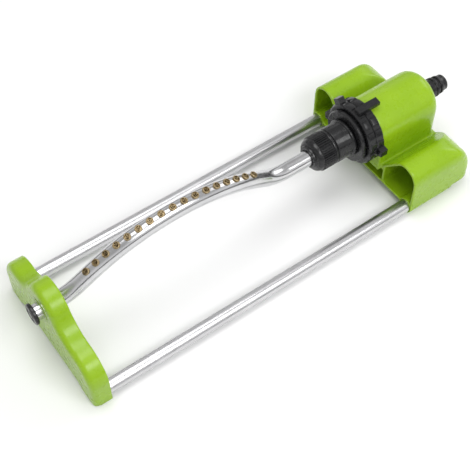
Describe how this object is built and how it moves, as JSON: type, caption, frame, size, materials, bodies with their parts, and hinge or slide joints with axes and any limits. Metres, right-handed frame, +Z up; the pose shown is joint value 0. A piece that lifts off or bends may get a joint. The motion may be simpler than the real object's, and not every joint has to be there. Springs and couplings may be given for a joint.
{
  "type": "oscillating lawn sprinkler",
  "caption": "Oscillating lawn sprinkler: a curved aluminium spray tube with brass jets swings between a green end cover and a water motor on tube rails.",
  "frame": {"origin": "on the ground under the middle of the overall length and width", "axes": "+X along the two rails from the end cover to the hose inlet, +Y across the rails to the far rail, +Z up; the spray tube swings about the X line at height 56 mm"},
  "size_m": [0.419, 0.138, 0.1035],
  "materials": {
    "green_plastic": "glossy moulded lime green polypropylene",
    "black_plastic": "satin black moulded plastic",
    "white_plastic": "natural acetal",
    "rail_aluminium": "polished drawn aluminium tube",
    "tube_aluminium": "polished bent aluminium tube",
    "brass": "turned brass",
    "rubber": "soft black rubber",
    "steel": "stainless steel"
  },
  "bodies": {
    "frame": {"end_cover": "green_plastic", "motor_housing": "green_plastic", "rail_near": "rail_aluminium", "rail_far": "rail_aluminium", "tube_bearing_bush": "green_plastic", "bush_circlip": "steel", "motor_front_cap": "black_plastic", "motor_case": "black_plastic", "bearing_plate": "white_plastic", "plate_screws": "steel", "gearbox_bulkhead": "white_plastic", "lay_arbor": "steel", "main_arbor": "steel", "jet_plate": "white_plastic", "inlet_filter": "white_plastic", "inlet_nipple": "black_plastic", "inlet_washer": "rubber"},
    "sprayer": {"spray_tube": "tube_aluminium", "brass_nozzles": "brass", "output_sleeve": "black_plastic", "tube_seal_ring": "rubber", "tube_end_gasket": "rubber", "output_gear": "white_plastic"},
    "end_cap": {"tube_end_cap": "black_plastic", "end_cap_seal": "rubber", "jet_cleaning_needle": "steel"},
    "nut": {"union_nut": "black_plastic"},
    "ring_front": {"adjuster_ring_front": "black_plastic"},
    "ring_rear": {"adjuster_ring_rear": "black_plastic"},
    "lever": {"reversing_lever": "white_plastic"},
    "gear_three": {"gear_stage_three": "white_plastic"},
    "gear_two": {"gear_stage_two": "white_plastic"},
    "gear_one": {"gear_stage_one": "white_plastic"},
    "turbine": {"turbine_wheel": "white_plastic"}
  },
  "joints": [
    {"name": "tube_swing", "type": "hinge", "parent": "frame", "child": "sprayer", "pos_m": [0, 0, 0.056], "axis": [1, 0, 0], "range_deg": [-59, 41]},
    {"name": "union_nut_turn", "type": "hinge", "parent": "sprayer", "child": "nut", "pos_m": [0.068, 0, 0.056], "axis": [1, 0, 0], "range_deg": [0, 360]},
    {"name": "end_cap_pull", "type": "slide", "parent": "sprayer", "child": "end_cap", "axis": [-1, 0, 0], "range_m": [0, 0.022]},
    {"name": "front_ring_turn", "type": "hinge", "parent": "frame", "child": "ring_front", "pos_m": [0.1056, 0, 0.056], "axis": [-1, 0, 0], "range_deg": [-15, 60]},
    {"name": "rear_ring_turn", "type": "hinge", "parent": "frame", "child": "ring_rear", "pos_m": [0.1135, 0, 0.056], "axis": [-1, 0, 0], "range_deg": [-60, 10]},
    {"name": "reversing_lever_flip", "type": "hinge", "parent": "frame", "child": "lever", "pos_m": [0.1055, 0, 0.056], "axis": [1, 0, 0], "range_deg": [-12, 12]},
    {"name": "gear_three_spin", "type": "hinge", "parent": "frame", "child": "gear_three", "pos_m": [0.127, 0, 0.044], "axis": [1, 0, 0], "range_deg": [-200, 200]},
    {"name": "gear_two_spin", "type": "hinge", "parent": "frame", "child": "gear_two", "pos_m": [0.132, 0, 0.056], "axis": [1, 0, 0], "range_deg": [-600, 600]},
    {"name": "gear_one_spin", "type": "hinge", "parent": "frame", "child": "gear_one", "pos_m": [0.138, 0, 0.044], "axis": [1, 0, 0], "range_deg": [-1800, 1800]},
    {"name": "turbine_spin", "type": "hinge", "parent": "frame", "child": "turbine", "pos_m": [0.16, 0, 0.056], "axis": [1, 0, 0], "range_deg": [-5400, 5400]}
  ],
  "couplings": [
    {"joint": "gear_three_spin", "follows": "tube_swing", "ratio": -3},
    {"joint": "gear_two_spin", "follows": "tube_swing", "ratio": 9},
    {"joint": "gear_one_spin", "follows": "tube_swing", "ratio": -27},
    {"joint": "turbine_spin", "follows": "tube_swing", "ratio": 81}
  ]
}
